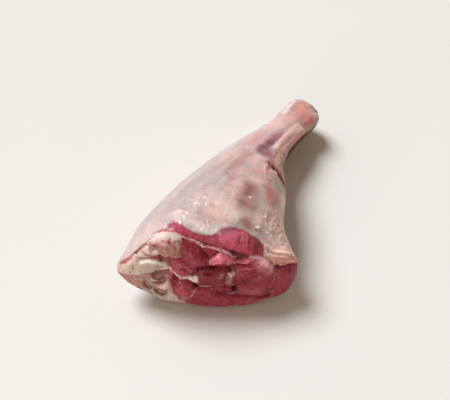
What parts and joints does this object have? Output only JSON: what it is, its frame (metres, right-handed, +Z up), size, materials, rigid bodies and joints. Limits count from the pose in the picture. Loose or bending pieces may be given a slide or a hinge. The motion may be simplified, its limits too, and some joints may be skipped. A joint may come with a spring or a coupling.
{
  "type": "raw lamb shank",
  "caption": "Raw lamb hind shank lying on its side: a tapering leg under pale fell and fat, with a slanting cut through the muscles at the wide end and a bare hock at the narrow end.",
  "frame": {"origin": "on the floor under the middle of the shank's box", "axes": "+Z up from the side it lies on, -Y out of the cut through the thigh, +Y towards the hock end, +X to the side that the shin leans to"},
  "size_m": [0.1652, 0.2022, 0.0661],
  "materials": {
    "raw_lamb": "moist raw meat: pale pink fell and cream fat over the leg, dark red muscle with pale seams at the cut"
  },
  "bodies": {
    "root": {"shank": "raw_lamb"}
  },
  "joints": []
}
